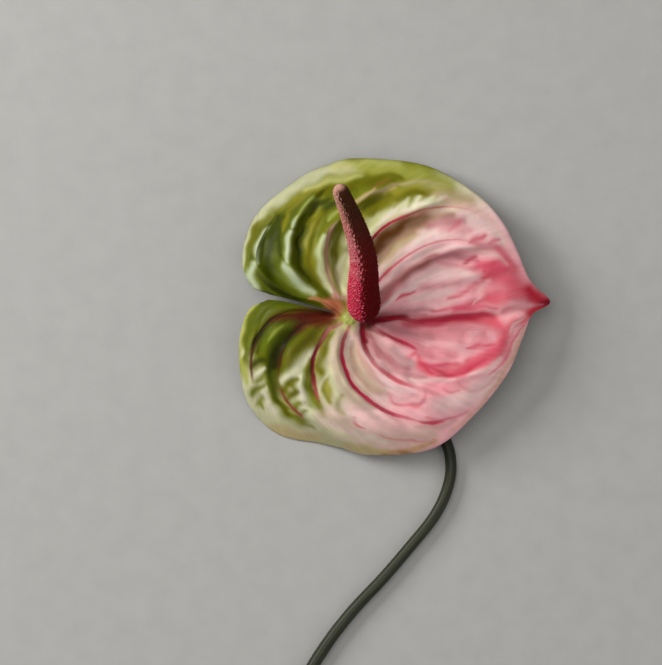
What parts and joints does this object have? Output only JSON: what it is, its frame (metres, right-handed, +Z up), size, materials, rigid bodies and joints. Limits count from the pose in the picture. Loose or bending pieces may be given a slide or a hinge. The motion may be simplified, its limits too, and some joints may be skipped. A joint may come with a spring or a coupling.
{
  "type": "cut anthurium stem",
  "caption": "Cut anthurium flower lying face up: a heart-shaped veined spathe, a spadix of tiny florets and a long curved bare stem ending in a slanting cut.",
  "frame": {"origin": "middle of the whole flower's outline as seen from above, on the surface that it lies on", "axes": "+Z up from the surface, +X towards the tip of the spathe, +Y from the cut end of the stem towards the flower"},
  "size_m": [0.125, 0.3177, 0.0571],
  "materials": {
    "spathe": "waxy petal, green lobes turning pink towards the tip, satin gloss",
    "spadix": "beaded with florets, crimson at the base and pale pink at the tip, matte",
    "peduncle": "smooth olive green stem, satin"
  },
  "bodies": {
    "root": {"spathe": "spathe", "spadix": "spadix", "peduncle": "peduncle"}
  },
  "joints": []
}
